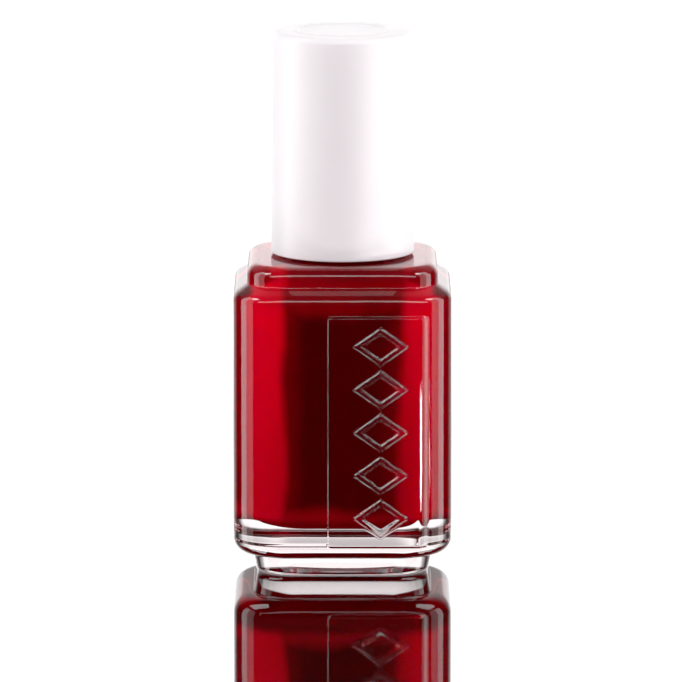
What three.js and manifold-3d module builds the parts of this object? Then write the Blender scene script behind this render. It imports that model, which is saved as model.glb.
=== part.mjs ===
// Nail polish bottle: a square-shouldered glass bottle of lacquer, shut by a screw cap that carries
// the brush. Millimetres, +Z up. The origin is the centre of the foot, and -Y is the front, which
// carries the embossed panel.
import * as THREE from "three";
import { mergeVertices } from "three/addons/utils/BufferGeometryUtils.js";
import Module from "manifold-3d";

const wasm = await Module();
wasm.setup();

// Driving dimensions -----------------------------------------------------------------------------

const TOTAL_HEIGHT = 73.0;
const GAP = 0.3; // clearance between pieces that fit into each other

// Glass body: half widths are from the axis to a flat side
const BODY_HALF = 14.7;
const BODY_CORNER = 6.0; // plan radius of the body's corners
const CORNER_SHRINK = 0.35; // how much the plan radius drops for each mm of narrowing
const FOOT_HALF = 11.5;
const FOOT_TOP_HALF = 12.0;
const FOOT_EDGE = 0.9;
const FOOT_HEIGHT = 2.7;
const HEEL_TOP = 5.6; // where the heel meets the upright side
const SIDE_TOP = 37.2; // where the side starts to round in
const LEDGE = { half: 14.1, z: 38.8 };
const TIER = { half: 12.85, foot: 39.75, sideTop: 40.9, topHalf: 11.3 };
const SHOULDER_TOP = 42.3;
const GLASS_CUT = 38.9; // height of the plane on which the glass's two nodes meet

// Inside of the glass
const CAVITY_HALF = 10.8;
const CAVITY_CORNER = 3.6;
const CAVITY_FLOOR = 6.5;
const FLOOR_FILLET = 2.8;
const CAVITY_SIDE_TOP = 36.4;
const CAVITY_TOP = { half: 6.6, z: 40.4 };
const FILL_LEVEL = 38.2;

// Neck: a 13 mm screw finish
const NECK_RADIUS = 5.7;
const NECK_BORE = 3.5;
const NECK_ROOT = 6.6; // radius of the fillet's foot on the shoulder
const RIM = 53.5;
const RIM_ROUND = 0.4;

// Screw thread, 12 turns to the inch, right handed
const PITCH = 25.4 / 12;
const THREAD_START = 46.8; // height of the neck thread's centre line where it starts
const NECK_THREAD = { inner: 5.5, outer: 6.5, halfInner: 0.6, halfOuter: 0.25, turns: 1.5 };
const CAP_THREAD = { inner: 6.05, outer: 7.05, halfInner: 0.25, halfOuter: 0.55, turns: 1.0 };
const THREAD_TAPER = 0.08; // part of a turn over which each end of a thread fades out

// Foot recess with its round label
const RECESS_RADIUS = 7.6;
const RECESS_DEPTH = 1.0;
const LABEL = { radius: 7.0, low: 0.6, high: 0.8 };

// Front panel and its column of lozenges
const PANEL = { left: -2.1, right: 10.9, low: 4.6, high: 36.2, corner: 0.6, proud: 0.3 };
const LOZENGE = { count: 5, halfWidth: 3.9, halfHeight: 2.75, rim: 0.95, pitch: 5.85, proud: 0.3 };
const RELIEF_BEVEL = 0.12;

// Outer cap
const CAP_FOOT = 42.7;
const CAP_FOOT_RADIUS = 9.7;
const CAP_TOP_RADIUS = 9.4;
const CAP_EDGE = 0.85; // rounding of the top edge
const CAP_TOP_THICK = 1.4;
const CAP_BORE = { foot: 8.5, top: 8.25 };
const CAP_RING = { inner: 5.9, outer: 6.7, proud: 0.12 }; // plain raised ring on the cap's top
const SPLINES = { count: 16, width: 0.8, low: 44.2, high: 55.6, inner: 8.05, outer: 8.2 };
const STAND_OFFS = { count: 6, thickness: 0.9, inner: 2.4, low: 58.5 };

// Inner cap, which holds the thread and the brush
const INNER_CAP = { bore: 6.85, radius: 7.75, foot: 43.3, plateLow: 54.9, top: 56.5, hole: 2.65 };

// Sealing ring between the rim and the inner cap
const SEAL = { inner: 1.9, outer: 6.4, low: 53.8, high: 54.5 };

// Brush
const STEM_RADIUS = 1.6;
const STEM_END = 22.0;
const STEM_HEAD = { radius: 4.4, low: 56.8, high: 58.2, collar: 2.35, collarLow: 54.7 };
const SOCKET = { radius: 1.25, top: 26.9 }; // blind hole in the stem's end for the bristles
const TUFT = { root: 0.95, belly: 2.15, bellyZ: 13.0, tip: 9.0, top: 25.6 };
const STAPLE = { length: 2.0, thickness: 0.35, low: 25.8, high: 26.6 };

// Mixing balls, 3/16 inch
const BALL_RADIUS = 4.7625 / 2;
const BALL_REST = 0.1; // clearance above the cavity's floor
const BALLS = [
  { name: "mixing_ball_1", x: -6.9, y: 3.0 },
  { name: "mixing_ball_2", x: 5.6, y: -5.4 },
];
const BRUSH_WELL = { radius: 2.9, floor: 8.2 };

// How finely round shapes are divided
const CORNER_STEPS = 4;
const CURVE_STEPS = 3;
const NECK_SIDES = 36;
const CAP_SIDES = 48;
const BRUSH_SIDES = 20;

// Helpers ----------------------------------------------------------------------------------------

// A closed geometry as a solid that can be joined and cut.
function toSolid(geometry) {
  const bare = geometry.clone();
  bare.deleteAttribute("normal");
  bare.deleteAttribute("uv");
  const merged = mergeVertices(bare, 1e-4);
  return new wasm.Manifold(
    new wasm.Mesh({
      numProp: 3,
      vertProperties: merged.attributes.position.array,
      triVerts: new Uint32Array(merged.index.array),
    }),
  );
}

// A solid as a geometry again.
function toGeometry(solid) {
  const mesh = solid.getMesh();
  const geometry = new THREE.BufferGeometry();
  geometry.setAttribute("position", new THREE.BufferAttribute(mesh.vertProperties, 3));
  geometry.setIndex(new THREE.BufferAttribute(mesh.triVerts, 1));
  geometry.computeVertexNormals();
  return geometry;
}

// Turns an outline of (radius, height) points about the Z axis.
function turned(points, sides) {
  const geometry = new THREE.LatheGeometry(points, sides);
  geometry.rotateX(Math.PI / 2);
  return geometry;
}

function outline(pairs) {
  return pairs.map(([radius, height]) => new THREE.Vector2(radius, height));
}

// A closed skin over a row of rings with equal numbers of points. Each ring runs counterclockwise
// as seen from the next one.
function skin(rings) {
  const count = rings[0].length;
  const faces = [];
  for (let level = 0; level < rings.length - 1; level += 1) {
    const low = level * count;
    const high = low + count;
    for (let i = 0; i < count; i += 1) {
      const j = (i + 1) % count;
      faces.push(low + i, low + j, high + j);
      faces.push(low + i, high + j, high + i);
    }
  }
  const last = (rings.length - 1) * count;
  for (let i = 1; i < count - 1; i += 1) {
    faces.push(0, i + 1, i);
    faces.push(last, last + i, last + i + 1);
  }
  const geometry = new THREE.BufferGeometry().setFromPoints(rings.flat());
  geometry.setIndex(faces);
  return geometry;
}

// One level of a rounded square column.
function roundedSquare(half, corner, z) {
  const inset = half - corner;
  const ring = [];
  for (let side = 0; side < 4; side += 1) {
    const start = (side * Math.PI) / 2;
    const centreX = inset * (Math.cos(start) - Math.sin(start));
    const centreY = inset * (Math.sin(start) + Math.cos(start));
    for (let step = 0; step <= CORNER_STEPS; step += 1) {
      const angle = start + ((step / CORNER_STEPS) * Math.PI) / 2;
      const x = centreX + corner * Math.cos(angle);
      const y = centreY + corner * Math.sin(angle);
      ring.push(new THREE.Vector3(x, y, z));
    }
  }
  return ring;
}

// A helical ridge about the Z axis. Its section runs from half height halfInner at radius inner to
// halfOuter at radius outer, and shrinks towards the root at both ends of the thread.
function ridge(thread, startZ, rootRadius) {
  const steps = Math.round(thread.turns * NECK_SIDES);
  const rings = [];
  for (let step = 0; step <= steps; step += 1) {
    const turn = (step / steps) * thread.turns;
    const angle = turn * 2 * Math.PI;
    const z = startZ + turn * PITCH;
    const fromEnd = Math.min(turn, thread.turns - turn);
    const size = Math.min(1, 0.1 + (0.9 * fromEnd) / THREAD_TAPER);
    const at = (radius, rise) =>
      new THREE.Vector3(radius * Math.cos(angle), radius * Math.sin(angle), z + rise);
    const inner = rootRadius + (thread.inner - rootRadius) * size;
    const outer = rootRadius + (thread.outer - rootRadius) * size;
    rings.push([
      at(inner, -thread.halfInner * size),
      at(inner, thread.halfInner * size),
      at(outer, thread.halfOuter * size),
      at(outer, -thread.halfOuter * size),
    ]);
  }
  return toSolid(skin(rings));
}

// Copies of one solid, turned in equal steps about the Z axis.
function ringOf(solid, count, offsetTurns = 0) {
  const stepDegrees = 360 / count;
  return Array.from({ length: count }, (_, i) =>
    solid.rotate([0, 0, (i + offsetTurns) * stepDegrees]),
  );
}

// A block that points outwards along +X, between two radii and two heights.
function radialBlock(inner, outer, width, low, high) {
  const geometry = new THREE.BoxGeometry(outer - inner, width, high - low);
  geometry.translate((inner + outer) / 2, 0, (low + high) / 2);
  return toSolid(geometry);
}

function joined(solids) {
  return solids.reduce((whole, piece) => whole.add(piece));
}

// Glass bottle -----------------------------------------------------------------------------------

// Half width against height on the outside, from the foot's edge to the shoulder's top.
function bodyProfile() {
  const path = new THREE.Path();
  path.moveTo(FOOT_HALF - FOOT_EDGE, 0);
  path.quadraticCurveTo(FOOT_HALF, 0, FOOT_HALF + 0.05, FOOT_EDGE);
  path.lineTo(FOOT_TOP_HALF, FOOT_HEIGHT);
  const heelWidth = BODY_HALF - FOOT_TOP_HALF;
  const heelHeight = HEEL_TOP - FOOT_HEIGHT;
  path.absellipse(FOOT_TOP_HALF, HEEL_TOP, heelWidth, heelHeight, -Math.PI / 2, 0, false);
  path.lineTo(BODY_HALF, SIDE_TOP);
  path.quadraticCurveTo(BODY_HALF, LEDGE.z - 0.25, LEDGE.half, LEDGE.z);
  path.lineTo(TIER.half, TIER.foot);
  path.lineTo(TIER.half, TIER.sideTop);
  path.quadraticCurveTo(TIER.half, SHOULDER_TOP - 0.1, TIER.topHalf, SHOULDER_TOP);
  return path.getPoints(CURVE_STEPS);
}

// Half width against height inside, kept clear of the glass by the given gap.
function cavityRings(gap, top) {
  const half = CAVITY_HALF - gap;
  const inset = half - FLOOR_FILLET;
  const floor = CAVITY_FLOOR + gap;
  const path = new THREE.Path();
  path.moveTo(inset, floor);
  path.absellipse(inset, floor + FLOOR_FILLET, FLOOR_FILLET, FLOOR_FILLET, -Math.PI / 2, 0, false);
  path.lineTo(half, CAVITY_SIDE_TOP);
  const reach = CAVITY_HALF - CAVITY_TOP.half;
  const rise = CAVITY_TOP.z - CAVITY_SIDE_TOP - gap;
  const topAngle = Math.asin(Math.min(1, (top - CAVITY_SIDE_TOP) / rise));
  path.absellipse(half - reach, CAVITY_SIDE_TOP, reach, rise, 0, topAngle, false);
  return path
    .getPoints(CURVE_STEPS)
    .map((p) => roundedSquare(p.x, CAVITY_CORNER - gap, p.y));
}

function neckOutside() {
  const path = new THREE.Path();
  path.moveTo(0, SHOULDER_TOP - 1);
  path.lineTo(NECK_ROOT, SHOULDER_TOP - 1);
  path.lineTo(NECK_ROOT, SHOULDER_TOP);
  path.quadraticCurveTo(NECK_RADIUS, SHOULDER_TOP, NECK_RADIUS, SHOULDER_TOP + 0.8);
  path.lineTo(NECK_RADIUS, RIM - RIM_ROUND);
  path.quadraticCurveTo(NECK_RADIUS, RIM, NECK_RADIUS - RIM_ROUND, RIM);
  path.lineTo(0, RIM);
  return toSolid(turned(path.getPoints(CURVE_STEPS), NECK_SIDES));
}

// The bore opens into the cavity through a funnel, and its mouth is rounded.
function neckInside() {
  const path = new THREE.Path();
  const funnel = { radius: CAVITY_TOP.half - 0.3, low: CAVITY_TOP.z - 0.6 };
  path.moveTo(0, funnel.low);
  path.lineTo(funnel.radius, funnel.low);
  path.lineTo(funnel.radius, CAVITY_TOP.z - 0.1);
  path.quadraticCurveTo(NECK_BORE, CAVITY_TOP.z + 0.5, NECK_BORE, CAVITY_TOP.z + 2.6);
  path.lineTo(NECK_BORE, RIM - RIM_ROUND);
  path.quadraticCurveTo(NECK_BORE, RIM, NECK_BORE + RIM_ROUND, RIM + 0.01);
  path.lineTo(NECK_BORE + RIM_ROUND, RIM + 1);
  path.lineTo(0, RIM + 1);
  return toSolid(turned(path.getPoints(CURVE_STEPS), NECK_SIDES));
}

// A flat shape drawn in (x, z), raised from the front of the glass with a bevelled edge.
function frontRelief(shape, back, proud) {
  const geometry = new THREE.ExtrudeGeometry(shape, {
    depth: back + proud - RELIEF_BEVEL,
    bevelThickness: RELIEF_BEVEL,
    bevelSize: RELIEF_BEVEL,
    bevelOffset: -RELIEF_BEVEL,
    bevelSegments: 1,
    curveSegments: CURVE_STEPS,
  });
  geometry.rotateX(Math.PI / 2);
  geometry.translate(0, -BODY_HALF + back, 0);
  return toSolid(geometry);
}

function panelShape() {
  const { left, right, low, high, corner } = PANEL;
  const shape = new THREE.Shape();
  shape.moveTo(left + corner, low);
  shape.lineTo(right - corner, low);
  shape.quadraticCurveTo(right, low, right, low + corner);
  shape.lineTo(right, high - corner);
  shape.quadraticCurveTo(right, high, right - corner, high);
  shape.lineTo(left + corner, high);
  shape.quadraticCurveTo(left, high, left, high - corner);
  shape.lineTo(left, low + corner);
  shape.quadraticCurveTo(left, low, left + corner, low);
  return shape;
}

function lozengePoints(centreX, centreZ, halfWidth, halfHeight) {
  return [
    new THREE.Vector2(centreX + halfWidth, centreZ),
    new THREE.Vector2(centreX, centreZ + halfHeight),
    new THREE.Vector2(centreX - halfWidth, centreZ),
    new THREE.Vector2(centreX, centreZ - halfHeight),
  ];
}

function lozengeShape(index) {
  const centreX = (PANEL.left + PANEL.right) / 2 + 0.7;
  const middle = (PANEL.low + PANEL.high) / 2;
  const centreZ = middle + (index - (LOZENGE.count - 1) / 2) * LOZENGE.pitch;
  const { halfWidth, halfHeight, rim } = LOZENGE;
  const slope = rim * Math.hypot(halfWidth, halfHeight);
  const innerWidth = halfWidth - slope / halfHeight;
  const innerHeight = halfHeight - slope / halfWidth;
  const shape = new THREE.Shape(lozengePoints(centreX, centreZ, halfWidth, halfHeight));
  shape.holes.push(new THREE.Path(lozengePoints(centreX, centreZ, innerWidth, innerHeight)));
  return shape;
}

// One piece of glass, given as two nodes that meet on a flat plane, so that the collision hulls of
// each leave the bore and the cavity open. The first holds the shoulder and neck.
function glassBottle() {
  const outside = bodyProfile().map((p) => {
    const corner = BODY_CORNER - CORNER_SHRINK * (BODY_HALF - p.x);
    return roundedSquare(p.x, corner, p.y);
  });
  const panelRoot = 1.2; // depth to which the relief is rooted in the glass
  const lozenges = Array.from({ length: LOZENGE.count }, (_, i) =>
    frontRelief(lozengeShape(i), panelRoot, PANEL.proud + LOZENGE.proud),
  );
  const glass = joined([
    toSolid(skin(outside)),
    neckOutside(),
    ridge(NECK_THREAD, THREAD_START, NECK_THREAD.inner),
    frontRelief(panelShape(), panelRoot, PANEL.proud),
    ...lozenges,
  ]);
  const recess = outline([
    [0, -1],
    [RECESS_RADIUS + 0.4, -1],
    [RECESS_RADIUS + 0.4, 0],
    [RECESS_RADIUS, RECESS_DEPTH - 0.2],
    [RECESS_RADIUS - 0.3, RECESS_DEPTH],
    [0, RECESS_DEPTH],
  ]);
  const hollow = joined([
    toSolid(skin(cavityRings(0, CAVITY_TOP.z))),
    neckInside(),
    toSolid(turned(recess, NECK_SIDES)),
  ]);
  return glass.subtract(hollow).splitByPlane([0, 0, 1], GLASS_CUT).map(toGeometry);
}

// Contents and label -----------------------------------------------------------------------------

function column(radius, x, y, low, high) {
  const geometry = new THREE.CylinderGeometry(radius, radius, high - low, BRUSH_SIDES);
  geometry.rotateX(Math.PI / 2);
  geometry.translate(x, y, (low + high) / 2);
  return toSolid(geometry);
}

// The lacquer leaves a well for the brush, and an upright channel in which each ball can travel.
function lacquerFill() {
  const above = FILL_LEVEL + 1;
  const channels = BALLS.map(({ x, y }) =>
    column(BALL_RADIUS + GAP, x, y, CAVITY_FLOOR - 1, above),
  );
  const well = column(BRUSH_WELL.radius, 0, 0, BRUSH_WELL.floor, above);
  const lacquer = toSolid(skin(cavityRings(GAP, FILL_LEVEL)));
  return toGeometry(lacquer.subtract(joined([well, ...channels])));
}

function mixingBall({ x, y }) {
  const geometry = new THREE.SphereGeometry(BALL_RADIUS, 16, 10);
  geometry.rotateX(Math.PI / 2);
  geometry.translate(x, y, CAVITY_FLOOR + BALL_REST + BALL_RADIUS);
  return geometry;
}

function footLabel() {
  const { radius, low, high } = LABEL;
  const disc = outline([[0, low], [radius, low], [radius, high], [0, high]]);
  return turned(disc, NECK_SIDES);
}

// Cap --------------------------------------------------------------------------------------------

function outerCap() {
  const innerTop = TOTAL_HEIGHT - CAP_TOP_THICK;
  const path = new THREE.Path();
  path.moveTo(0, innerTop);
  path.lineTo(CAP_BORE.top, innerTop);
  path.lineTo(CAP_BORE.foot, CAP_FOOT);
  path.lineTo(CAP_FOOT_RADIUS - 0.15, CAP_FOOT);
  path.lineTo(CAP_FOOT_RADIUS, CAP_FOOT + 0.15);
  path.lineTo(CAP_TOP_RADIUS, TOTAL_HEIGHT - CAP_EDGE);
  path.quadraticCurveTo(
    CAP_TOP_RADIUS - 0.05,
    TOTAL_HEIGHT - CAP_RING.proud,
    CAP_TOP_RADIUS - CAP_EDGE,
    TOTAL_HEIGHT - CAP_RING.proud,
  );
  path.lineTo(CAP_RING.outer, TOTAL_HEIGHT - CAP_RING.proud);
  path.lineTo(CAP_RING.outer - 0.15, TOTAL_HEIGHT);
  path.lineTo(CAP_RING.inner + 0.15, TOTAL_HEIGHT);
  path.lineTo(CAP_RING.inner, TOTAL_HEIGHT - CAP_RING.proud);
  path.lineTo(0, TOTAL_HEIGHT - CAP_RING.proud);
  const shell = toSolid(turned(path.getPoints(CURVE_STEPS), CAP_SIDES));
  const spline = radialBlock(
    SPLINES.inner,
    CAP_BORE.foot + 0.2,
    SPLINES.width,
    SPLINES.low,
    SPLINES.high,
  );
  const standOff = radialBlock(
    STAND_OFFS.inner,
    CAP_BORE.top + 0.2,
    STAND_OFFS.thickness,
    STAND_OFFS.low,
    innerTop + 0.2,
  );
  return toGeometry(
    joined([
      shell,
      ...ringOf(spline, SPLINES.count, 0.5),
      ...ringOf(standOff, STAND_OFFS.count),
    ]),
  );
}

function innerCap() {
  const { bore, radius, foot, plateLow, top, hole } = INNER_CAP;
  const sleeve = outline([
    [hole, plateLow],
    [bore, plateLow],
    [bore, foot + 0.3],
    [bore + 0.3, foot],
    [radius, foot],
    [radius, top - 0.3],
    [radius - 0.3, top],
    [hole, top],
    [hole, plateLow],
  ]);
  const spline = radialBlock(
    radius - 0.2,
    SPLINES.outer,
    SPLINES.width,
    SPLINES.low,
    SPLINES.high,
  );
  return toGeometry(
    joined([
      toSolid(turned(sleeve, NECK_SIDES)),
      ridge(CAP_THREAD, THREAD_START + PITCH / 2, CAP_THREAD.outer),
      ...ringOf(spline, SPLINES.count),
    ]),
  );
}

function sealingRing() {
  const { inner, outer, low, high } = SEAL;
  const section = outline([
    [inner, low],
    [outer, low],
    [outer, high],
    [inner, high],
    [inner, low],
  ]);
  return turned(section, NECK_SIDES);
}

// Brush ------------------------------------------------------------------------------------------

function brushStem() {
  const { radius, low, high, collar, collarLow } = STEM_HEAD;
  const path = new THREE.Path();
  path.moveTo(0, SOCKET.top);
  path.lineTo(SOCKET.radius, SOCKET.top);
  path.lineTo(SOCKET.radius, STEM_END);
  path.lineTo(STEM_RADIUS - 0.1, STEM_END);
  path.lineTo(STEM_RADIUS, STEM_END + 0.3);
  path.lineTo(STEM_RADIUS, collarLow - 0.1);
  path.lineTo(collar, collarLow + 0.5);
  path.lineTo(collar, low);
  path.lineTo(radius, low);
  path.lineTo(radius, high - 0.3);
  path.lineTo(radius - 0.3, high);
  path.lineTo(0, high);
  return turned(path.getPoints(1), BRUSH_SIDES);
}

// The bristles leave the socket as a tight bundle, swell to a belly and close to a blunt tip.
function bristles() {
  const path = new THREE.Path();
  path.moveTo(0, TUFT.tip);
  path.quadraticCurveTo(TUFT.belly, TUFT.tip + 0.2, TUFT.belly, TUFT.bellyZ);
  path.quadraticCurveTo(TUFT.belly - 0.4, STEM_END - 3, TUFT.root, STEM_END - 0.4);
  path.lineTo(TUFT.root, TUFT.top);
  path.lineTo(0, TUFT.top);
  return turned(path.getPoints(CURVE_STEPS + 1), BRUSH_SIDES);
}

function staple() {
  const { length, thickness, low, high } = STAPLE;
  const geometry = new THREE.BoxGeometry(length, thickness, high - low);
  geometry.translate(0, 0, (low + high) / 2);
  return geometry;
}

// The assembly -----------------------------------------------------------------------------------

const FINISHES = {
  glass: { color: 0xe9eeee, roughness: 0.03, metalness: 0, transparent: true, opacity: 0.35 },
  lacquer: { color: 0x8a0010, roughness: 0.15, metalness: 0 },
  steel: { color: 0xb9bcc0, roughness: 0.2, metalness: 1 },
  label: { color: 0xf4f2ee, roughness: 0.6, metalness: 0 },
  capPlastic: { color: 0xf4f0f2, roughness: 0.35, metalness: 0 },
  innerPlastic: { color: 0xe8e8e4, roughness: 0.5, metalness: 0 },
  sealFoam: { color: 0xf7f7f5, roughness: 0.8, metalness: 0 },
  stemPlastic: { color: 0xf0f0ec, roughness: 0.4, metalness: 0 },
  bristle: { color: 0x7a0a14, roughness: 0.6, metalness: 0 },
};

function piece(name, geometry, finish) {
  const mesh = new THREE.Mesh(geometry, new THREE.MeshStandardMaterial(FINISHES[finish]));
  mesh.name = name;
  return mesh;
}

const [glassShoulder, glassWalls] = glassBottle();
const bottle = new THREE.Group();
bottle.add(
  piece("glass_shoulder", glassShoulder, "glass"),
  piece("glass_body", glassWalls, "glass"),
  piece("lacquer_fill", lacquerFill(), "lacquer"),
  piece("foot_label", footLabel(), "label"),
  ...BALLS.map((ball) => piece(ball.name, mixingBall(ball), "steel")),
);

const closure = new THREE.Group();
closure.add(
  piece("outer_cap", outerCap(), "capPlastic"),
  piece("inner_cap", innerCap(), "innerPlastic"),
  piece("sealing_ring", sealingRing(), "sealFoam"),
  piece("brush_stem", brushStem(), "stemPlastic"),
  piece("bristle_staple", staple(), "steel"),
  piece("brush_bristles", bristles(), "bristle"),
);

const group = new THREE.Group();
group.add(bottle, closure);

export default group;
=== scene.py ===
import math
import random

import bpy
import numpy as np
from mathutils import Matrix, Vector, noise


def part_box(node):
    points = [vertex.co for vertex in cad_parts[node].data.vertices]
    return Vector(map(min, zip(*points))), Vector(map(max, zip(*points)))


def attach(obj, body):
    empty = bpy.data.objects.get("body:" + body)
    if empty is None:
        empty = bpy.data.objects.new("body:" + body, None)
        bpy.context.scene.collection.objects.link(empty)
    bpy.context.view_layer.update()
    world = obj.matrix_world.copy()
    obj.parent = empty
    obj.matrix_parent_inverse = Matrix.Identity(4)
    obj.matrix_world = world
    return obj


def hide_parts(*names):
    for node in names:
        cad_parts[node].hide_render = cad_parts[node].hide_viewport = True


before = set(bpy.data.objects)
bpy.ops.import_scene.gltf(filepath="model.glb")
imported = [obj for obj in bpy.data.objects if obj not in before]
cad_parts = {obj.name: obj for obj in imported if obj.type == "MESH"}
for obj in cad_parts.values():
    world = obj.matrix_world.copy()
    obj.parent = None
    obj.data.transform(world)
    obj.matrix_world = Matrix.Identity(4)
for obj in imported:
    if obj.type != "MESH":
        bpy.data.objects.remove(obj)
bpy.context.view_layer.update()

MM = 0.001  # lengths below are in millimetres, and meshes are made in metres


def box_mm(node):
    """Low and high corners of a CAD node's box, in millimetres."""
    low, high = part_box(node)
    return low / MM, high / MM


# Sizes that the CAD nodes give -------------------------------------------------------------------

body_high = box_mm("glass_body")[1]
neck_high = box_mm("glass_shoulder")[1]
fill_low, fill_high = box_mm("lacquer_fill")
label_low, label_high = box_mm("foot_label")
cap_low, cap_high = box_mm("outer_cap")
liner_low, liner_high = box_mm("inner_cap")
seal_low, seal_high = box_mm("sealing_ring")
stem_low, stem_high = box_mm("brush_stem")
tuft_low, tuft_high = box_mm("brush_bristles")
staple_low, staple_high = box_mm("bristle_staple")

FIT_GAP = 0.3  # clearance that the CAD leaves around the lacquer
BODY_HALF = body_high.x
BODY_CORNER = 6.0
CORNER_SHRINK = 0.35  # what the corner radius loses for each mm that a ring is narrower
LEAST_CORNER = 2.4
RIM = neck_high.z
CAVITY_HALF = fill_high.x + FIT_GAP
CAVITY_FLOOR = fill_low.z - FIT_GAP
CAVITY_CORNER = 3.6
CAVITY_TOP = 40.4  # where the cavity starts to close in towards the bore
FILL_LEVEL = fill_high.z
CAP_FOOT = cap_low.z
CAP_TOP = cap_high.z
CAP_RADIUS = cap_high.x

# Sizes that the CAD nodes' boxes don't give
FOOT_HALF, FOOT_TOP_HALF, FOOT_HEIGHT = 11.5, 12.0, 2.75
RECESS_RADIUS, RECESS_DEPTH = 7.8, 1.0
LEDGE_HALF, LEDGE_Z = BODY_HALF, 38.5
TIER_HALF, TIER_FOOT = 12.85, 39.65
SHOULDER_TOP = 42.3
NECK_RADIUS, NECK_BORE = 5.7, 3.5
PITCH = 25.4 / 12
THREAD_START = 46.8
THREAD_CREST = 0.25  # half width of the ridge at its crest
THREAD_PROUD = 0.8
PANEL = {"left": -2.1, "right": 10.9, "low": 4.6, "high": 36.2, "corner": 0.6, "proud": 0.3}
PANEL_WALL = 0.3  # width of the wall round the panel, apart from the right-hand one
RIGHT_WALL = (10.4, 11.5)  # where the right-hand wall starts and ends
LOZENGE = {"count": 5, "half_width": 3.9, "half_height": 2.75, "rim": 0.95, "pitch": 5.85}
LOZENGE_CENTRE = 5.1  # x of the column of lozenges
LOZENGE_PROUD = 0.3
LOZENGE_WALL = 0.3


# Mesh tools --------------------------------------------------------------------------------------

ON_AXIS = 1e-6  # a radius below this is a point on the axis


def smoothstep(low, high, value):
    """Rises smoothly from 0 at low to 1 at high. High may be below low, to fall instead."""
    t = np.clip((value - low) / (high - low), 0.0, 1.0)
    return t * t * (3 - 2 * t)


def rounded_path(corners, steps=8):
    """A line through corners (a, b, radius), each rounded to its radius."""
    places = [np.array(c[:2], float) for c in corners]
    points = [places[0]]
    for before, here, after, corner in zip(places, places[1:], places[2:], corners[1:]):
        radius = corner[2]
        if not radius:
            points.append(here)
            continue
        back = (before - here) / np.linalg.norm(before - here)
        ahead = (after - here) / np.linalg.norm(after - here)
        half_angle = math.acos(np.clip(back @ ahead, -1, 1)) / 2
        middle = (back + ahead) / np.linalg.norm(back + ahead)
        centre = here + middle * radius / math.sin(half_angle)
        start = here + back * radius / math.tan(half_angle) - centre
        end = here + ahead * radius / math.tan(half_angle) - centre
        first = math.atan2(start[1], start[0])
        turn = math.atan2(end[1], end[0]) - first
        turn = (turn + math.pi) % (2 * math.pi) - math.pi
        for step in range(steps + 1):
            angle = first + turn * step / steps
            points.append(centre + radius * np.array((math.cos(angle), math.sin(angle))))
    points.append(places[-1])
    return np.array(points)


def refined(points, step_at):
    """The same line with more points, so that no step is longer than step_at(a, b) of its start."""
    out = [points[0]]
    for start, end in zip(points, points[1:]):
        middle = (start + end) / 2
        pieces = max(1, math.ceil(np.linalg.norm(end - start) / step_at(*middle)))
        out += [start + (end - start) * (i + 1) / pieces for i in range(pieces)]
    return np.array(out)


def loft(name, rings, wrap=False):
    """A closed mesh over rings of points in millimetres. A ring of one point closes an end, and
    wrap joins the last ring to the first. Rings run counterclockwise as seen from the next one."""
    rings = [np.atleast_2d(r) for r in rings]
    starts = np.cumsum([0] + [len(r) for r in rings])
    faces = []
    pairs = [(k, k + 1) for k in range(len(rings) - 1)]
    if wrap:
        pairs.append((len(rings) - 1, 0))
    for a, b in pairs:
        count = max(len(rings[a]), len(rings[b]))
        i = np.arange(count)
        j = (i + 1) % count
        low, high = starts[a], starts[b]
        if len(rings[a]) == 1:
            faces += np.stack([np.full(count, low), high + j, high + i], 1).tolist()
        elif len(rings[b]) == 1:
            faces += np.stack([low + i, low + j, np.full(count, high)], 1).tolist()
        else:
            faces += np.stack([low + i, low + j, high + j, high + i], 1).tolist()
    mesh = bpy.data.meshes.new(name)
    mesh.from_pydata((np.vstack(rings) * MM).tolist(), [], faces)
    mesh.validate()
    mesh.shade_smooth()
    obj = bpy.data.objects.new(name, mesh)
    bpy.context.scene.collection.objects.link(obj)
    return obj


def pole(z):
    """The ring of one point on the axis that closes an end of a loft."""
    return np.array([[0.0, 0.0, z]])


def circle(sides):
    angle = np.arange(sides) * 2 * math.pi / sides
    return np.stack([np.cos(angle), np.sin(angle)], 1)


def at_height(flat, z):
    """Points (x, y) lifted to a height."""
    return np.column_stack([flat, np.broadcast_to(z, len(flat))])


def lathe(name, profile, sides, wrap=False, reshape=None):
    """Turns (radius, z) points about the Z axis. reshape(radius, z, angle) may vary the radius."""
    unit = circle(sides)
    angle = np.arange(sides) * 2 * math.pi / sides
    rings = []
    for radius, z in profile:
        if radius < ON_AXIS:
            rings.append(pole(z))
            continue
        radii = np.full(sides, radius) if reshape is None else reshape(radius, z, angle)
        rings.append(at_height(unit * radii[:, None], z))
    return loft(name, rings, wrap)


def joined(name, objects):
    """One object from several that are already in place."""
    with bpy.context.temp_override(
        active_object=objects[0], selected_editable_objects=objects, selected_objects=objects
    ):
        bpy.ops.object.join()
    objects[0].name = name
    return objects[0]


def place(obj, body, slot, finish, *nodes):
    """Gives a piece its material, and says which body it rides on and which CAD nodes it shows."""
    obj.data.materials.clear()
    obj.data.materials.append(finish)
    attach(obj, body)
    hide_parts(*nodes)
    return obj


def wave(points, size, seed):
    """Smooth noise at points, from about -1 to 1, with features of the given size."""
    shift = Vector((seed * 7.3, seed * 3.1, seed * 5.7))
    return np.array([noise.noise(Vector(p) / size + shift) for p in points])


# Camera, floor and light -------------------------------------------------------------------------


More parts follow.
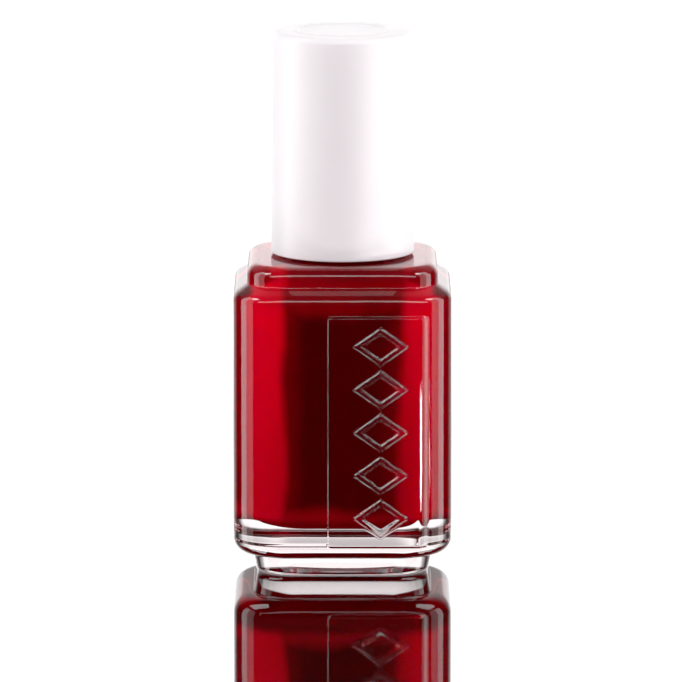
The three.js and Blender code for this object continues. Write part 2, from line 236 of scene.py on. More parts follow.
def map_range(tree, value, *limits):
    """A smooth Map Range node. limits are From Min, From Max, To Min and To Max, each a number or
    another node's output."""
    node = tree.nodes.new("ShaderNodeMapRange")
    node.interpolation_type = "SMOOTHSTEP"
    tree.links.new(value, node.inputs["Value"])
    for key, limit in zip(("From Min", "From Max", "To Min", "To Max"), limits):
        if isinstance(limit, (int, float)):
            node.inputs[key].default_value = limit
        else:
            tree.links.new(limit, node.inputs[key])
    return node.outputs["Result"]


AIM = Vector((-0.2, 0.0, 30.3)) * MM  # the point at the middle of the picture
CAMERA_DISTANCE = 1.1
CAMERA_ELEVATION = math.radians(10)
PICTURE_WIDTH = 92.5 * MM  # width that the picture covers at the aim point
SENSOR = 36.0


def make_camera():
    """A long lens in front, looking a little down."""
    camera = bpy.data.objects.new("camera", bpy.data.cameras.new("camera"))
    bpy.context.scene.collection.objects.link(camera)
    back = Vector((0, -math.cos(CAMERA_ELEVATION), math.sin(CAMERA_ELEVATION)))
    camera.location = AIM + back * CAMERA_DISTANCE
    camera.rotation_euler = (-back).to_track_quat("-Z", "Y").to_euler()
    camera.data.sensor_width = SENSOR
    camera.data.lens = SENSOR * CAMERA_DISTANCE / PICTURE_WIDTH
    camera.data.clip_start = 0.01
    camera.data.clip_end = 20
    bpy.context.scene.camera = camera


def area_light(name, place_at, aim, size, radiance, tint=(1, 1, 1)):
    """A rectangular light that the camera doesn't see, with its power set by its radiance."""
    light = bpy.data.lights.new(name, "AREA")
    light.color = tint
    light.shape = "RECTANGLE"
    light.size, light.size_y = size
    light.energy = radiance * math.pi * size[0] * size[1]
    obj = bpy.data.objects.new(name, light)
    obj.location = place_at
    obj.rotation_euler = (Vector(aim) - Vector(place_at)).to_track_quat("-Z", "Y").to_euler()
    obj.visible_camera = False
    bpy.context.scene.collection.objects.link(obj)


# Lights in metres, as name, place, (width, height) and radiance. The softboxes shine
# straight across, and the lamps at the bottle's middle.
BOTTLE_MIDDLE = (0, 0, 0.03)
SIDE_SOFTBOXES = (
    ("softbox", (0.455, 0.06, 0.1), (0.16, 0.8), 3.3),
    ("softbox_edge", (0.455, -0.11, 0.1), (0.18, 0.8), 1.3),
)
SIDE_LAMPS = (
    ("lamp", (0.41, -0.09, 0.46), (0.15, 0.15), 12.0),
    ("mirrored_lamp", (0.32, 0.05, -0.5), (0.3, 0.3), 5.0),
)
STRIP_HEIGHT = -0.074  # lights only the right-hand wall of the panel
FAINT_PINK, PINK = (1, 0.95, 0.975), (1, 0.78, 0.82)


def make_studio():
    """Tall softboxes on both sides that reach below the floor, as a mirror floor would show them,
    lamps above and below each, a softbox in front overhead, and a pale horizon."""
    for side, where in ((-1, "left"), (1, "right")):
        for name, (x, y, z), size, radiance in SIDE_SOFTBOXES:
            area_light(f"{name}_{where}", (side * x, y, z), (0, y, z), size, radiance)
        for name, (x, y, z), size, radiance in SIDE_LAMPS:
            area_light(f"{name}_{where}", (side * x, y, z), BOTTLE_MIDDLE, size, radiance)
    strip = (0.35, -0.35, STRIP_HEIGHT)
    area_light("strip_right", strip, (0, 0, STRIP_HEIGHT), (0.3, 0.022), 28.0)
    overhead, mirrored = (0, -0.5, 0.36), (0, -0.5, -0.4)
    area_light("softbox_front", overhead, BOTTLE_MIDDLE, (1.4, 0.15), 4.8, FAINT_PINK)
    area_light("mirrored_front", mirrored, BOTTLE_MIDDLE, (1.4, 0.12), 2.3, PINK)
    world = bpy.data.worlds.new("studio")
    bpy.context.scene.world = world
    world.use_nodes = True
    nodes, links = world.node_tree.nodes, world.node_tree.links
    direction = nodes.new("ShaderNodeTexCoord").outputs["Generated"]
    split = nodes.new("ShaderNodeSeparateXYZ")
    links.new(direction, split.inputs["Vector"])

    # The sky is bright behind the bottle and dark in front of it, in three bands of height.
    tree = world.node_tree
    back, up = split.outputs["Y"], split.outputs["Z"]
    below = map_range(tree, back, 0.6, 0.95, 0.004, 0.85)
    horizon = map_range(tree, back, 0.65, 0.96, 0.04, 1.6)
    high = map_range(tree, back, -0.2, 0.8, 0.06, 0.35)
    upper = map_range(tree, up, 0.25, 0.5, horizon, high)
    strength = map_range(tree, up, -0.1, -0.02, below, upper)
    # The camera sees plain white in its place.
    seen = nodes.new("ShaderNodeLightPath").outputs["Is Camera Ray"]
    shown = nodes.new("ShaderNodeMix")
    links.new(seen, shown.inputs["Factor"])
    links.new(strength, shown.inputs["A"])
    shown.inputs["B"].default_value = 1.0
    background = nodes["Background"]
    links.new(shown.outputs["Result"], background.inputs["Strength"])
    background.inputs["Color"].default_value = (1, 1, 1, 1)


FLOOR_HALF = 8.0  # metres
FLOOR_DROP = 0.00003  # metres below the foot, so that the two faces don't coincide
FLOOR_MIRROR_ENDS, FLOOR_WHITE_STARTS = 90, 180  # distances from the bottle


def make_floor(finish):
    """A glossy floor that shows the bottle's mirror image, and isn't itself shown in the glass."""
    h, z = FLOOR_HALF, -FLOOR_DROP
    corners = [(-h, -h, z), (h, -h, z), (h, h, z), (-h, h, z)]
    mesh = bpy.data.meshes.new("floor")
    mesh.from_pydata(corners, [], [(0, 1, 2, 3)])
    mesh.materials.append(finish)
    floor = bpy.data.objects.new("floor", mesh)
    bpy.context.scene.collection.objects.link(floor)
    floor.visible_glossy = False
    floor.visible_transmission = False
    floor.visible_diffuse = False
    floor.visible_shadow = False


# Materials ---------------------------------------------------------------------------------------


class Finish:
    """A node material with short ways to add textures in object space, sized in millimetres."""

    def __init__(self, name, **values):
        self.material = bpy.data.materials.new(name)
        self.material.use_nodes = True
        self.nodes = self.material.node_tree.nodes
        self.links = self.material.node_tree.links
        self.shader = self.nodes["Principled BSDF"]
        self.coordinates = self.nodes.new("ShaderNodeTexCoord").outputs["Object"]
        for key, value in values.items():
            self.shader.inputs[key.replace("_", " ")].default_value = value

    def noise(self, size, detail=3.0, rough=0.5, stretch=(1, 1, 1)):
        mapping = self.nodes.new("ShaderNodeMapping")
        mapping.inputs["Scale"].default_value = stretch
        self.links.new(self.coordinates, mapping.inputs["Vector"])
        texture = self.nodes.new("ShaderNodeTexNoise")
        texture.inputs["Scale"].default_value = 1 / (size * MM)
        texture.inputs["Detail"].default_value = detail
        texture.inputs["Roughness"].default_value = rough
        self.links.new(mapping.outputs["Vector"], texture.inputs["Vector"])
        return texture.outputs["Fac"]

    def mapped(self, value, low, high, to_low, to_high):
        return map_range(self.material.node_tree, value, low, high, to_low, to_high)

    def mixed(self, share, first, second):
        node = self.nodes.new("ShaderNodeMix")
        node.data_type = "RGBA"
        self.links.new(share, node.inputs["Factor"])
        for key, colour in (("A", first), ("B", second)):
            socket = next(s for s in node.inputs if s.name == key and s.type == "RGBA")
            if isinstance(colour, tuple):
                socket.default_value = (*colour, 1)
            else:
                self.links.new(colour, socket)
        return next(s for s in node.outputs if s.type == "RGBA")

    def math(self, operation, first, second):
        node = self.nodes.new("ShaderNodeMath")
        node.operation = operation
        for socket, value in zip(node.inputs, (first, second)):
            if isinstance(value, (int, float)):
                socket.default_value = value
            else:
                self.links.new(value, socket)
        return node.outputs["Value"]

    def axis(self, letter):
        split = self.nodes.new("ShaderNodeSeparateXYZ")
        self.links.new(self.coordinates, split.inputs["Vector"])
        return split.outputs[letter]

    def radius(self):
        """Distance from the Z axis, in metres."""
        across = self.math("POWER", self.axis("X"), 2.0)
        along = self.math("POWER", self.axis("Y"), 2.0)
        return self.math("SQRT", self.math("ADD", across, along), 0.0)

    def bump(self, height, depth, strength=1.0):
        node = self.nodes.new("ShaderNodeBump")
        node.inputs["Strength"].default_value = strength
        node.inputs["Distance"].default_value = depth * MM
        self.links.new(height, node.inputs["Height"])
        self.links.new(node.outputs["Normal"], self.shader.inputs["Normal"])

    def link(self, value, key):
        self.links.new(value, self.shader.inputs[key])


def glass_finish():
    """Clear glass, a little grey and pink in the thick base."""
    f = Finish("clear_glass", Transmission_Weight=1.0, IOR=1.55)
    smudge = f.noise(5.0, detail=4)
    f.link(f.mapped(smudge, 0.5, 0.75, 0.0, 0.05), "Roughness")
    height = f.math("ADD", f.axis("Z"), f.mapped(smudge, 0.0, 1.0, 0.0, 1.0 * MM))
    thick = f.mapped(height, 6.2 * MM, 7.6 * MM, 1.0, 0.0)
    f.link(f.mixed(thick, (0.87, 0.81, 0.815), (0.7, 0.635, 0.64)), "Base Color")
    f.bump(f.noise(2.6, detail=2), 0.01, 0.15)
    return f.material


def lacquer_finish():
    """Deep red liquid with painted light in its colour: a painted glow where little of it lies
    behind the surface, towards the upright corners, the top and the bottom."""
    f = Finish("red_lacquer_painted_glow", IOR=1.45, Roughness=0.25)
    f.shader.inputs["Subsurface Weight"].default_value = 1.0
    f.shader.inputs["Subsurface Radius"].default_value = (1.0, 0.03, 0.03)
    f.shader.inputs["Subsurface Scale"].default_value = 0.8 * MM
    f.shader.inputs["Specular IOR Level"].default_value = 0.0
    swirl = f.noise(9.0, detail=3, stretch=(1, 1, 0.4))
    drift = f.mapped(swirl, 0.25, 0.75, -0.7 * MM, 0.7 * MM)
    beside = f.math("ABSOLUTE", f.axis("X"), 0.0)
    before = f.math("ABSOLUTE", f.axis("Y"), 0.0)
    across = f.math("ADD", f.math("MINIMUM", beside, before), drift)
    height = f.math("ADD", f.axis("Z"), drift)
    # painted glow: the red brightens towards the upright corners of each face, and faintly further
    # in
    glow = f.mapped(across, 6.6 * MM, 8.7 * MM, 0.0, 1.0)
    glow = f.math("MAXIMUM", glow, f.mapped(across, 4.6 * MM, 7.4 * MM, 0.0, 0.2))
    # painted glow on the side faces near their front corners
    outermost = f.mapped(beside, 9.4 * MM, 10.4 * MM, 0.0, 1.0)
    forward = f.mapped(before, 4.0 * MM, 8.0 * MM, 0.0, 1.0)
    glow = f.math("MAXIMUM", glow, f.math("MULTIPLY", outermost, forward))
    # painted light: the glow grows towards the top of the liquid
    glow = f.math("MULTIPLY", glow, f.mapped(height, 8.0 * MM, 36.0 * MM, 0.7, 1.05))
    # painted glow, lighter towards the top and the bottom
    for low, high, most in ((34.5, 38.0, 0.4), (10.4, 8.0, 0.45)):
        edge = f.mapped(height, low * MM, high * MM, 0.0, most)
        glow = f.math("MAXIMUM", glow, edge)
    # and the painted glow dimmed again, as painted shade, in the film above the liquid and at the
    # floor
    for low, high, least in ((38.0, 40.0, 0.8), (8.4, 7.0, 0.15)):
        film = f.mapped(f.axis("Z"), low * MM, high * MM, 1.0, least)
        glow = f.math("MULTIPLY", glow, film)
    # painted light: the left side of the liquid kept brighter than the right
    glow = f.math("MULTIPLY", glow, f.mapped(f.axis("X"), -9 * MM, 9 * MM, 1.0, 0.75))
    # dark red where the painted glow is off, bright red where it is full
    f.link(f.mixed(glow, (0.135, 0.0, 0.001), (0.92, 0.0, 0.026)), "Base Color")
    f.link(f.mapped(swirl, 0.3, 0.7, 0.2, 0.3), "Roughness")
    f.bump(f.noise(3.0), 0.01, 0.2)
    return f.material


def cap_finish():
    """Satin white plastic, slightly translucent."""
    f = Finish("satin_white_cap", IOR=1.5)
    tone = f.noise(11.0, detail=2)
    f.link(f.mixed(tone, (0.86, 0.84, 0.855), (0.9, 0.88, 0.895)), "Base Color")
    f.link(f.mapped(f.noise(3.0, detail=5), 0.35, 0.7, 0.34, 0.44), "Roughness")
    f.bump(f.noise(0.35, detail=4, stretch=(1, 1, 0.3)), 0.004, 0.35)
    f.shader.inputs["Subsurface Weight"].default_value = 0.12
    f.shader.inputs["Subsurface Radius"].default_value = (1.0, 0.9, 0.9)
    f.shader.inputs["Subsurface Scale"].default_value = 1.0 * MM
    return f.material


def moulded_finish(name, colour, shade, roughness, grain=0.5):
    """Plain moulded plastic or foam, mottled from colour to shade."""
    f = Finish(name, IOR=1.5)
    f.link(f.mixed(f.noise(4.0), shade, colour), "Base Color")
    patches = f.noise(1.2, detail=4)
    f.link(f.mapped(patches, 0.3, 0.7, roughness - 0.06, roughness + 0.08), "Roughness")
    f.bump(f.noise(grain, detail=3), 0.01, 0.4)
    return f.material


def steel_finish():
    """Polished steel with uneven tone and fine scratches."""
    f = Finish("polished_steel", Metallic=1.0)
    f.link(f.mixed(f.noise(1.1, detail=5), (0.5, 0.5, 0.52), (0.68, 0.69, 0.7)), "Base Color")
    f.link(f.mapped(f.noise(0.5, detail=5), 0.35, 0.75, 0.12, 0.34), "Roughness")
    f.bump(f.noise(0.4, detail=4, stretch=(1, 1, 4)), 0.006, 0.4)
    return f.material


def label_finish():
    """Plain white film with a printed colour dot and a thin ring, and no lettering."""
    f = Finish("label_film", Roughness=0.45)
    radius = f.radius()
    paper = f.mixed(f.noise(0.5, detail=5), (0.86, 0.85, 0.83), (0.92, 0.91, 0.9))
    ring_in = f.mapped(radius, 5.9 * MM, 5.95 * MM, 0, 1)
    ring_out = f.mapped(radius, 6.15 * MM, 6.2 * MM, 1, 0)
    dot = f.mapped(radius, 2.9 * MM, 3.0 * MM, 1, 0)
    ringed = f.mixed(f.math("MULTIPLY", ring_in, ring_out), paper, (0.3, 0.29, 0.3))
    f.link(f.mixed(dot, ringed, (0.42, 0.0, 0.012)), "Base Color")
    f.bump(f.noise(0.25, detail=4), 0.004, 0.4)
    return f.material


def wet_stem_finish():
    """White plastic above the neck, running into a film of lacquer below."""
    f = Finish("brush_stem_plastic", IOR=1.5)
    height = f.math("ADD", f.axis("Z"), f.mapped(f.noise(2.0), 0, 1, -2.5 * MM, 2.5 * MM))
    coated = f.mapped(height, (FILL_LEVEL - 1.5) * MM, (FILL_LEVEL + 1.5) * MM, 1, 0)
    plastic = f.mixed(f.noise(4.0), (0.82, 0.82, 0.8), (0.88, 0.88, 0.86))
    f.link(f.mixed(coated, plastic, (0.36, 0.0, 0.01)), "Base Color")
    f.link(f.mapped(coated, 0, 1, 0.42, 0.12), "Roughness")
    f.bump(f.noise(1.2), 0.02, 0.4)
    return f.material


def bristle_finish():
    """Fibres under a glossy coat of lacquer."""
    f = Finish("wet_bristles", Roughness=0.18, IOR=1.5)
    f.link(f.mixed(f.noise(0.8, detail=4), (0.2, 0.0, 0.006), (0.42, 0.0, 0.012)), "Base Color")
    f.shader.inputs["Coat Weight"].default_value = 0.6
    f.shader.inputs["Coat Roughness"].default_value = 0.05
    f.bump(f.noise(0.3, detail=3, stretch=(1, 1, 0.2)), 0.02, 0.5)
    return f.material


def floor_finish():
    """A pale mirror near the bottle, which turns into a plain white glow further out."""
    f = Finish("polished_pale_floor")
    away = f.mapped(f.radius(), FLOOR_MIRROR_ENDS * MM, FLOOR_WHITE_STARTS * MM, 0.0, 1.0)
    f.link(f.mixed(away, (0.57, 0.57, 0.575), (0.1, 0.1, 0.1)), "Base Color")
    f.link(f.mapped(away, 0.0, 1.0, 1.0, 0.0), "Metallic")
    f.shader.inputs["Emission Color"].default_value = (1, 1, 1, 1)
    f.link(away, "Emission Strength")
    f.link(f.mapped(f.noise(25.0, detail=3), 0.3, 0.7, 0.02, 0.04), "Roughness")
    return f.material


# Glass bottle ------------------------------------------------------------------------------------


class Columns:
    """How the rings of the square body are divided. A ring's point is inset * flat + corner * arc,
    where inset is the half width less the corner radius."""

    def __init__(self, front_positions, front_corner_degrees, corner_steps, side_steps):
        flat_half = BODY_HALF - BODY_CORNER
        flat, arc = [], []
        for side in range(4):
            turn = math.radians(-90 + 90 * side)
            normal = np.array((math.cos(turn), math.sin(turn)))
            along = np.array((-normal[1], normal[0]))
            places = np.array(front_positions) / flat_half
            degrees = front_corner_degrees
            if side:
                places = np.linspace(-1, 1, side_steps + 1)[1:-1]
                degrees = np.linspace(0, 90, corner_steps + 1)
            for s in places:
                flat.append(normal + s * along)
                arc.append(normal)
            for d in degrees:
                angle = turn + math.radians(d)
                flat.append(normal + along)
                arc.append((math.cos(angle), math.sin(angle)))
        self.flat, self.arc = np.array(flat), np.array(arc)
        reference = flat_half * self.flat + BODY_CORNER * self.arc
        self.unit = reference / np.linalg.norm(reference, axis=1)[:, None]

    def ring(self, half, corner, squareness, z):
        corner = min(corner, 0.9 * half)
        square = (half - corner) * self.flat + corner * self.arc
        return at_height(square * squareness + half * self.unit * (1 - squareness), z)


def front_positions():
    """Where the front's columns stand: close together where the panel and its relief are."""
    flat_half = BODY_HALF - BODY_CORNER
    stops = [-flat_half, -2.6, -1.6, 0.8, flat_half]
    steps = [1.0, 0.1, 0.4, 0.1]
    line = refined(
        np.array([(x, 0.0) for x in stops]),
        lambda x, _: steps[next(i for i, high in enumerate(stops[1:]) if x < high)],
    )
    return line[1:-1, 0]


FINE = Columns(
    front_positions(),
    [*np.arange(0, 30, 2), *np.arange(30, 91, 5)],
    corner_steps=15,
    side_steps=8,
)
COARSE = Columns(np.linspace(-8, 8, 9), np.linspace(0, 90, 13), corner_steps=12, side_steps=10)


# Heights between rings of the glass, where the relief, the thread and neither of them is
PANEL_STEP, THREAD_STEP, PLAIN_STEP = 0.125, 0.2, 1.2


def outside_profile():
    """(half width, z) outside, from the recess under the foot up to the rim's inner edge."""
    line = rounded_path(
        [
            (0.0, RECESS_DEPTH, 0),
            (RECESS_RADIUS - 0.2, RECESS_DEPTH, 0.35),
            (RECESS_RADIUS + 0.2, 0.0, 0.25),
            (FOOT_HALF, 0.0, 0.9),
            (FOOT_TOP_HALF, FOOT_HEIGHT, 0.2),
            (BODY_HALF, FOOT_HEIGHT + 0.05, 2.5),
            (LEDGE_HALF, LEDGE_Z, 1.5),
            (TIER_HALF, TIER_FOOT, 0.4),
            (TIER_HALF, SHOULDER_TOP, 1.5),
            (NECK_RADIUS, SHOULDER_TOP + 0.12, 0.8),
            (NECK_RADIUS, RIM, 0.4),
            (NECK_BORE, RIM, 0.4),
            (NECK_BORE, RIM - 2, 0),
        ]
    )

    def step_at(half, z):
        if PANEL["low"] - 0.5 < z < PANEL["high"] + 0.4:
            return PANEL_STEP
        return THREAD_STEP if SHOULDER_TOP + 1 < z < RIM - 1 else PLAIN_STEP

    return refined(line, step_at)


def cavity_profile(offset, top):
    """(half width, z) inside, from the floor's middle up the bore to top, moved outwards by
    offset."""
    line = rounded_path(
        [
            (0.0, CAVITY_FLOOR - offset, 0),
            (CAVITY_HALF + offset, CAVITY_FLOOR - offset, 2.8 + offset),
            (CAVITY_HALF + offset, CAVITY_TOP + offset, 3.9 + offset),
            (NECK_BORE + offset, CAVITY_TOP + 0.9 + offset, 1.4),
            (NECK_BORE + offset, top, 0),
        ],
        steps=10,
    )
    return refined(line, lambda half, z: 2.2)


def outside_ring(half, z):
    """A ring of the outer surface: round at the recess and the neck, and square between."""
    if z <= FOOT_HEIGHT / 2:
        squareness = smoothstep(RECESS_RADIUS + 0.2, FOOT_HALF - 0.7, half)
    else:
        squareness = smoothstep(NECK_RADIUS + 0.8, TIER_HALF - 1.2, half)
    corner = BODY_CORNER - CORNER_SHRINK * (BODY_HALF - half)
    return FINE.ring(half, max(corner, LEAST_CORNER), squareness, z)


def cavity_ring(columns, half, z):
    """A ring of the cavity: square in the body and round in the bore."""
    low_part = z < CAVITY_TOP - 3
    squareness = 1.0 if low_part else smoothstep(NECK_BORE + 0.5, CAVITY_HALF - 2, half)
    corner = min(CAVITY_CORNER, half * CAVITY_CORNER / 8)
    return columns.ring(half, corner, squareness, z)


def ramp_up(low, high, value):
    """Rises in a straight line from 0 at low to 1 at high, with slightly softened ends."""
    t = np.clip((value - low) / (high - low), 0.0, 1.0)
    return 0.75 * t + 0.25 * t * t * (3 - 2 * t)


def add_relief(ring):
    """Raises the front panel and its column of lozenges from a ring of the outer surface."""
    x, y, z = ring[:, 0], ring[:, 1], ring[0, 2]
    front = (y < 0) & (np.abs(x) < BODY_HALF - 1)
    corner = PANEL["corner"]
    from_left = PANEL["left"] + corner - x
    from_edge = abs(z - (PANEL["low"] + PANEL["high"]) / 2)
    from_edge -= (PANEL["high"] - PANEL["low"]) / 2 - corner
    away = np.hypot(np.maximum(from_left, 0), max(from_edge, 0))
    away += np.minimum(np.maximum(from_left, from_edge), 0)
    pad = 1 - ramp_up(-PANEL_WALL, 0.0, away - corner)
    pad *= 1 - ramp_up(*RIGHT_WALL, x)
    target = -(BODY_HALF + PANEL["proud"] + lozenge_height(x, z))
    ring[:, 1] = np.where(front, y + (target - y) * pad, y)


def lozenge_height(x, z):
    """How far the lozenges' rims stand out from the panel, at places x and a height z."""
    middle_z = (PANEL["low"] + PANEL["high"]) / 2
    first = middle_z - (LOZENGE["count"] - 1) / 2 * LOZENGE["pitch"]
    index = np.clip(round((z - first) / LOZENGE["pitch"]), 0, LOZENGE["count"] - 1)
    centre_z = first + index * LOZENGE["pitch"]
    width, height, rim = LOZENGE["half_width"], LOZENGE["half_height"], LOZENGE["rim"]
    scale = width * height / math.hypot(width, height)
    reach = (np.abs(x - LOZENGE_CENTRE) / width + abs(z - centre_z) / height - 1) * scale
    from_middle = np.abs(reach + rim / 2)
    return LOZENGE_PROUD * (1 - ramp_up(rim / 2 - LOZENGE_WALL, rim / 2, from_middle))


def thread_height(angle, z, start, turns, root):
    """Height of a helical ridge over its root surface, at angles round the axis and a height z.
    root is half the width of the ridge at its foot."""
    total = np.zeros(len(angle))
    for lap in range(3):
        turn = (angle % (2 * math.pi)) / (2 * math.pi) + lap
        fade = smoothstep(0, 0.08, turn) * (1 - smoothstep(turns - 0.08, turns, turn))
        away = np.abs(z - start - turn * PITCH)
        profile = 1 - smoothstep(THREAD_CREST, root, away)
        total = np.maximum(total, THREAD_PROUD * fade * profile)
    return total


def make_glass(finish):
    """One closed shell: the outside up to the rim, then the cavity down to its floor."""
    rings = []
    for half, z in outside_profile():
        if half < ON_AXIS:
            rings.append(pole(z))
            continue
        ring = outside_ring(half, z)
        on_neck = z > SHOULDER_TOP + 1 and half > NECK_RADIUS - 0.01
        if on_neck:
            angle = np.arctan2(ring[:, 1], ring[:, 0])
            ridge = thread_height(angle, z, THREAD_START, turns=1.5, root=0.6)
            ring[:, :2] += FINE.unit * ridge[:, None]
        elif z > FOOT_HEIGHT / 2 and half > NECK_RADIUS + 1:
            ring[:, :2] += FINE.arc * (0.012 * wave(ring, 7.0, 1))[:, None]
        if PANEL["low"] - 0.4 < z < PANEL["high"] + 0.4 and half > FOOT_TOP_HALF:
            add_relief(ring)
        rings.append(ring)
    for half, z in cavity_profile(0.0, RIM - 2.4)[::-1]:
        if half < ON_AXIS:
            rings.append(pole(z))
            continue
        rings.append(wavy_cavity_ring(FINE, half, z))
    glass = loft("glass_shell", rings)
    return place(glass, "bottle", "glass", finish, "glass_body", "glass_shoulder")


def wavy_cavity_ring(columns, half, z):
    """A ring of the cavity with the slight waviness of blown glass."""
    ring = cavity_ring(columns, half, z)
    if z < CAVITY_TOP + 0.5:
        ring[:, :2] += columns.arc * (0.05 * wave(ring, 6.0, 2))[:, None]
    return ring


# Lacquer, label and balls ------------------------------------------------------------------------


def make_lacquer(finish):
    """The liquid wets the glass: it reaches a little into the wall, and clings under the shoulder
    and up the bore as a film."""
    wetted = cavity_profile(0.07, RIM - 3.0)
    film = [p for p in cavity_profile(-0.4, RIM - 3.2) if p[1] > FILL_LEVEL][::-1]
    surface_half = film[-1][0]
    meniscus = [(surface_half - 0.25, FILL_LEVEL - 0.25), (surface_half - 0.9, FILL_LEVEL - 0.5)]
    level_z = FILL_LEVEL - 0.55
    level = [(half, level_z) for half in (surface_half - 2, surface_half / 2)]
    rings = [pole(wetted[0][1])]
    rings += [wavy_cavity_ring(COARSE, half, z) for half, z in [*wetted[1:], *film]]
    rings += [cavity_ring(COARSE, half, z) for half, z in [*meniscus, *level]]
    rings.append(pole(level_z))
    lacquer = loft("lacquer_body", rings)
    return place(lacquer, "bottle", "lacquer", finish, "lacquer_fill")


def make_label(finish):
    """The round film in the recess under the foot."""
    radius = label_high.x
    profile = rounded_path(
        [
            (0, label_low.z, 0),
            (radius, label_low.z, 0.05),
            (radius, label_high.z, 0.05),
            (0, label_high.z, 0),
        ],
        steps=3,
    )
    label = lathe("label_disc", profile, 96)
    return place(label, "bottle", "label", finish, "foot_label")


DENTS_PER_MM = 1.6
DENT_SHARE = 0.0012  # depth as a share of the radius


def make_ball(number, finish):
    """A mixing ball, very slightly uneven."""
    node = f"mixing_ball_{number}"
    low, high = box_mm(node)
    centre, radius = (low + high) / 2, (high.z - low.z) / 2
    bands = 28
    angles = [math.pi * i / bands for i in range(1, bands)]
    profile = [(radius * math.sin(a), -radius * math.cos(a)) for a in angles]
    ball = lathe(f"steel_ball_{number}", [(0, -radius), *profile, (0, radius)], 48)
    for vertex in ball.data.vertices:
        dent = noise.noise(vertex.co / MM * DENTS_PER_MM + Vector((number, 0, 0)))
        vertex.co = vertex.co * (1 - DENT_SHARE * (1 + dent)) + Vector(centre) * MM
    return place(ball, f"ball_{number}", "steel", finish, node)


# Cap ---------------------------------------------------------------------------------------------

SPLINES = 16
SLEEVE_SIDES = 192
OUTER_CAP_INSIDE = 8.6  # every radius of the outer cap's inside is below this


def spline_share(z):
    """1 where the splines between the two caps stand at full height, and 0 above and below."""
    return smoothstep(44.0, 44.5, z) * (1 - smoothstep(55.3, 55.8, z))


def make_outer_cap(finish):
    """The white shell, with a raised ring on top and grooves for the inner cap's splines."""
    ring_proud = 0.12
    deck = CAP_TOP - ring_proud
    under = CAP_TOP - 1.4
    profile = rounded_path(
        [
            (0, under, 0),
            (8.25, under, 0.5),
            (8.35, 58.0, 0),
            (8.5, CAP_FOOT, 0.15),
            (CAP_RADIUS, CAP_FOOT, 0.18),
            (CAP_RADIUS - 0.3, deck, 0.85),
            (6.85, deck, 0.12),
            (6.6, CAP_TOP, 0.1),
            (6.0, CAP_TOP, 0.1),
            (5.75, deck, 0.12),
            (0, deck - 0.05, 0),
        ],
        steps=7,
    )

    def reshape(radius, z, angle):
        in_splines = spline_share(z)
        if not in_splines or radius > OUTER_CAP_INSIDE:
            return np.full(len(angle), radius)
        tooth = np.cos((angle - math.pi / SPLINES) * SPLINES)
        return radius - 0.42 * in_splines * smoothstep(0.45, 0.8, tooth)

    def step_at(radius, z):
        return 0.5 if radius < OUTER_CAP_INSIDE and 43.5 < z < 56.5 else 1.5

    cap = lathe("cap_shell", refined(profile, step_at), SLEEVE_SIDES, reshape=reshape)
    return place(cap, "cap", "cap_plastic", finish, "outer_cap")


def make_inner_cap(finish):
    """The threaded sleeve, with a hole in its plate for the stem."""
    hole, bore, radius = 2.65, 6.85, 7.75
    foot, top, plate = liner_low.z, liner_high.z, 54.9
    profile = rounded_path(
        [
            (4.0, plate, 0),
            (bore, plate, 0.3),
            (bore, foot, 0.3),
            (radius, foot, 0.2),
            (radius, top, 0.35),
            (hole, top, 0.2),
            (hole, plate, 0.15),
            (4.0, plate, 0),
        ],
        steps=5,
    )[:-1]

    def reshape(radius_here, z, angle):
        if abs(radius_here - bore) < 0.05:
            ridge = thread_height(angle, z, THREAD_START + PITCH / 2, turns=1.0, root=0.55)
            return radius_here - ridge
        if radius_here > radius - 0.1:
            tooth = smoothstep(0.5, 0.85, np.cos(angle * SPLINES))
            return radius_here + 0.45 * spline_share(z) * tooth
        return np.full(len(angle), radius_here)

    line = refined(profile, lambda radius_here, z: 0.18 if radius_here > bore - 0.1 else 1.0)
    liner = lathe("cap_liner", line[::-1], SLEEVE_SIDES, wrap=True, reshape=reshape)
    return place(liner, "cap", "inner_plastic", finish, "inner_cap")


def make_seal(finish):
    """The loose washer between the rim and the inner cap."""
    inner, outer = 1.95, seal_high.x
    low, high = seal_low.z, seal_high.z
    groove = 0.08  # a shallow ring pressed into the underside by the rim
    profile = rounded_path(
        [
            (inner, (low + high) / 2, 0),
            (inner, low, 0.12),
            (NECK_BORE - 0.1, low, 0.2),
            (NECK_BORE + 0.2, low + groove, 0.2),
            (NECK_RADIUS - 0.2, low + groove, 0.2),
            (NECK_RADIUS + 0.1, low, 0.2),
            (outer, low, 0.15),
            (outer, high, 0.15),
            (inner, high, 0.12),
            (inner, (low + high) / 2, 0),
        ],
        steps=4,
    )[:-1]
    seal = lathe("seal_washer", profile, 128, wrap=True)
    return place(seal, "seal", "seal", finish, "sealing_ring")


# Brush -------------------------------------------------------------------------------------------

STEM_RADIUS = 1.6
SOCKET_RADIUS, SOCKET_TOP = 1.25, 26.9
FILAMENTS = 260
FILAMENT_RADIUS = 0.055


def make_stem(finish):
    """The rod, with a socket at the bottom and a collar and a head at the top."""
    end, head = stem_low.z, stem_high.z
    collar, head_foot = 2.35, 56.8
    profile = rounded_path(
        [
            (0, SOCKET_TOP, 0),
            (SOCKET_RADIUS, SOCKET_TOP, 0.2),
            (SOCKET_RADIUS, end, 0.1),
            (STEM_RADIUS, end, 0.15),
            (STEM_RADIUS, 54.4, 0.3),
            (collar, 55.2, 0.2),
            (collar, head_foot, 0.15),
            (stem_high.x, head_foot, 0.15),
            (stem_high.x, head, 0.35),
            (1.0, head, 0.1),
            (0.8, head - 0.4, 0.1),
            (0, head - 0.4, 0),
        ],
        steps=5,
    )
    line = refined(profile, lambda radius, z: 1.2)
    stem = lathe("stem_rod", line, 64)
    return place(stem, "brush", "stem_plastic", finish, "brush_stem")


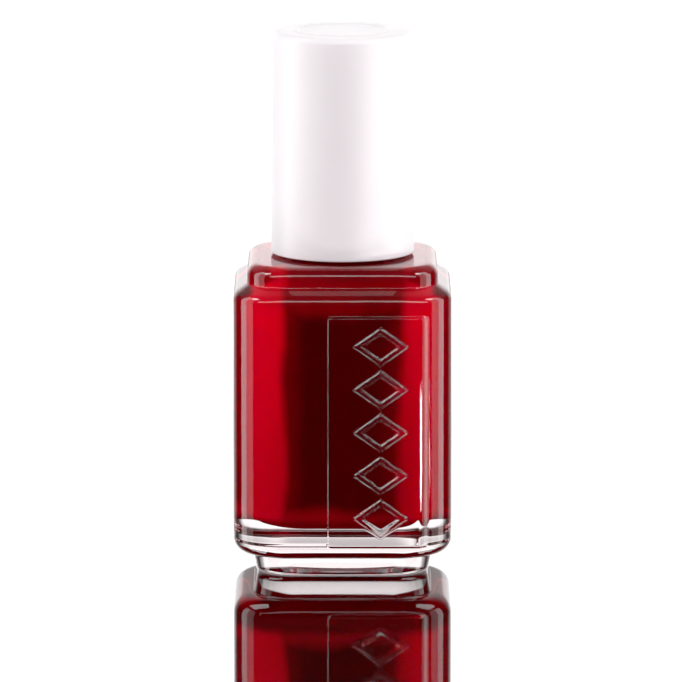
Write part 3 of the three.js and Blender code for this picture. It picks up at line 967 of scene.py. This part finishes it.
def tuft_envelope(z):
    """Radius of the bundle of bristles at a height."""
    tip = tuft_low.z
    socket = stem_low.z
    belly = tuft_high.x
    swell = smoothstep(socket - 0.4, tip + 5, z)
    close = np.sqrt(np.clip((z - tip + 0.6) / 4.2, 0, 1))
    return (0.9 + (belly - 1.0) * swell) * close


def make_bristles(finish):
    """Fine filaments, packed evenly in the socket and spread over the tuft's section."""
    random.seed(11)
    golden = math.pi * (3 - math.sqrt(5))
    unit = circle(5)
    tubes = []
    for k in range(FILAMENTS):
        share = math.sqrt((k + 0.5) / FILAMENTS) * 0.95
        angle = k * golden
        drift = random.uniform(-0.12, 0.12)
        tip = tuft_low.z + 0.1 + 1.3 * share**3 + random.uniform(0, 0.9)
        rings = []
        for z in np.linspace(tuft_high.z - 0.1, tip, 12):
            reach = share * tuft_envelope(z)
            bend = angle + drift * (tuft_high.z - z) / 10
            centre = np.array((math.cos(bend), math.sin(bend))) * reach
            thin = FILAMENT_RADIUS * (1 - 0.55 * smoothstep(tip + 1.5, tip, z))
            rings.append(at_height(centre + unit[::-1] * thin, z))
        top, low = rings[0].mean(0), rings[-1].mean(0)
        tubes.append(loft(f"filament_{k}", [top, *rings, low]))
    tuft = joined("tuft", tubes)
    return place(tuft, "brush", "bristle", finish, "brush_bristles")


def make_staple(finish):
    """A flat wire, bent down at both ends, that pins the folded bristles in the socket."""
    half = staple_high.x - 0.1
    low, high = staple_low.z, staple_high.z
    thick = (staple_high.y - staple_low.y) / 2
    path = rounded_path(
        [(-half, low, 0), (-half, high - 0.15, 0.25), (half, high - 0.15, 0.25), (half, low, 0)],
        steps=6,
    )
    section = circle(10) * (0.14, thick)
    rings = []
    for i, (x, z) in enumerate(path):
        ahead = path[min(i + 1, len(path) - 1)] - path[max(i - 1, 0)]
        ahead = ahead / np.linalg.norm(ahead)
        side = np.array((ahead[1], 0, -ahead[0]))
        across = np.array((0.0, 1.0, 0.0))
        rings.append(np.array((x, 0, z)) + section[:, :1] * side + section[:, 1:] * across)
    staple = loft("staple_wire", [rings[0].mean(0), *rings, rings[-1].mean(0)])
    return place(staple, "brush", "steel", finish, "bristle_staple")


# The scene ---------------------------------------------------------------------------------------

make_camera()
make_studio()
make_floor(floor_finish())

steel = steel_finish()
make_glass(glass_finish())
make_lacquer(lacquer_finish())
make_label(label_finish())
make_ball(1, steel)
make_ball(2, steel)
make_outer_cap(cap_finish())
make_inner_cap(
    moulded_finish("inner_cap_plastic", (0.84, 0.84, 0.81), (0.78, 0.78, 0.75), 0.45)
)
make_seal(moulded_finish("seal_foam", (0.9, 0.9, 0.89), (0.84, 0.84, 0.82), 0.7, grain=0.25))
make_stem(wet_stem_finish())
make_staple(steel)
make_bristles(bristle_finish())

view_settings = bpy.context.scene.view_settings
view_settings.view_transform = "Standard"
